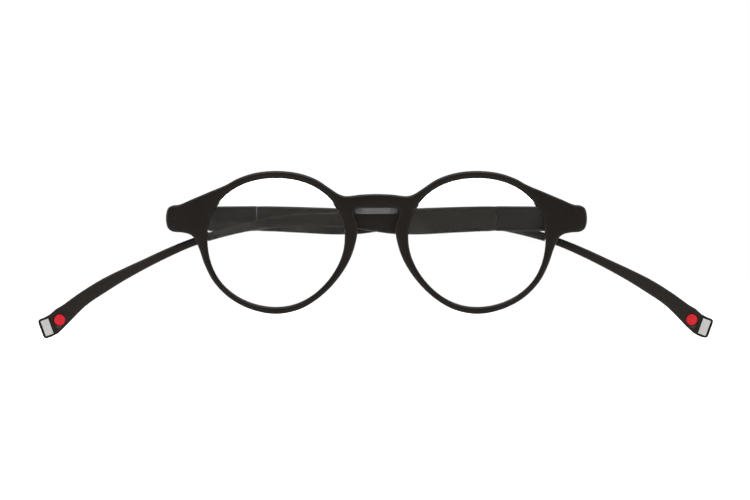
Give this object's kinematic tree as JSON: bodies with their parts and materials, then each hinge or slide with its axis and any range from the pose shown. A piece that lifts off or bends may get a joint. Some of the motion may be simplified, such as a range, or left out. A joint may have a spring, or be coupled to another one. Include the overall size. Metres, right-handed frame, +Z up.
{
  "type": "reading glasses",
  "caption": "Round reading glasses with a keyhole bridge and very long flexible temples, folded across behind the front, with a magnet in each tip.",
  "frame": {"origin": "level with the top of the keyhole's front edge and halfway through the front's thickness, just above the sloping underside of the bridge where the glasses rest on a nose", "axes": "+X right across the front, +Y back from the front towards the folded temples, +Z up as worn"},
  "size_m": [0.2269, 0.0143, 0.0561],
  "materials": {
    "soft_black": "soft-touch matt black plastic",
    "flexible_black": "flexible matt black plastic",
    "clear_lens": "clear polished plastic lens",
    "hinge_steel": "nickel-plated steel",
    "screw_steel": "turned steel",
    "spring_steel": "spring steel strip",
    "plated_magnet": "satin nickel-plated magnet",
    "red_dot": "glossy red inlay"
  },
  "bodies": {
    "front": {"front_frame": "soft_black", "lens_left": "clear_lens", "lens_right": "clear_lens", "front_hinge_leaf_left": "hinge_steel", "front_hinge_leaf_right": "hinge_steel", "hinge_screw_left": "screw_steel", "hinge_screw_right": "screw_steel"},
    "left_temple": {"temple_hinge_leaf_left": "hinge_steel", "temple_root_left": "soft_black", "temple_core_left": "spring_steel", "temple_arm_left": "flexible_black", "tip_magnet_left": "plated_magnet", "tip_dot_left": "red_dot"},
    "right_temple": {"temple_hinge_leaf_right": "hinge_steel", "temple_root_right": "soft_black", "temple_core_right": "spring_steel", "temple_arm_right": "flexible_black", "tip_magnet_right": "plated_magnet", "tip_dot_right": "red_dot"}
  },
  "joints": [
    {"name": "left_temple_hinge", "type": "hinge", "parent": "front", "child": "left_temple", "pos_m": [-0.0665, 0.0055, -0.0037], "axis": [0, 0, 1], "range_deg": [0, 88.8], "deforming": ["temple_arm_left"]},
    {"name": "right_temple_hinge", "type": "hinge", "parent": "front", "child": "right_temple", "pos_m": [0.0665, 0.0055, -0.0037], "axis": [0, 0, -1], "range_deg": [0, 91.2], "deforming": ["temple_arm_right"]}
  ]
}
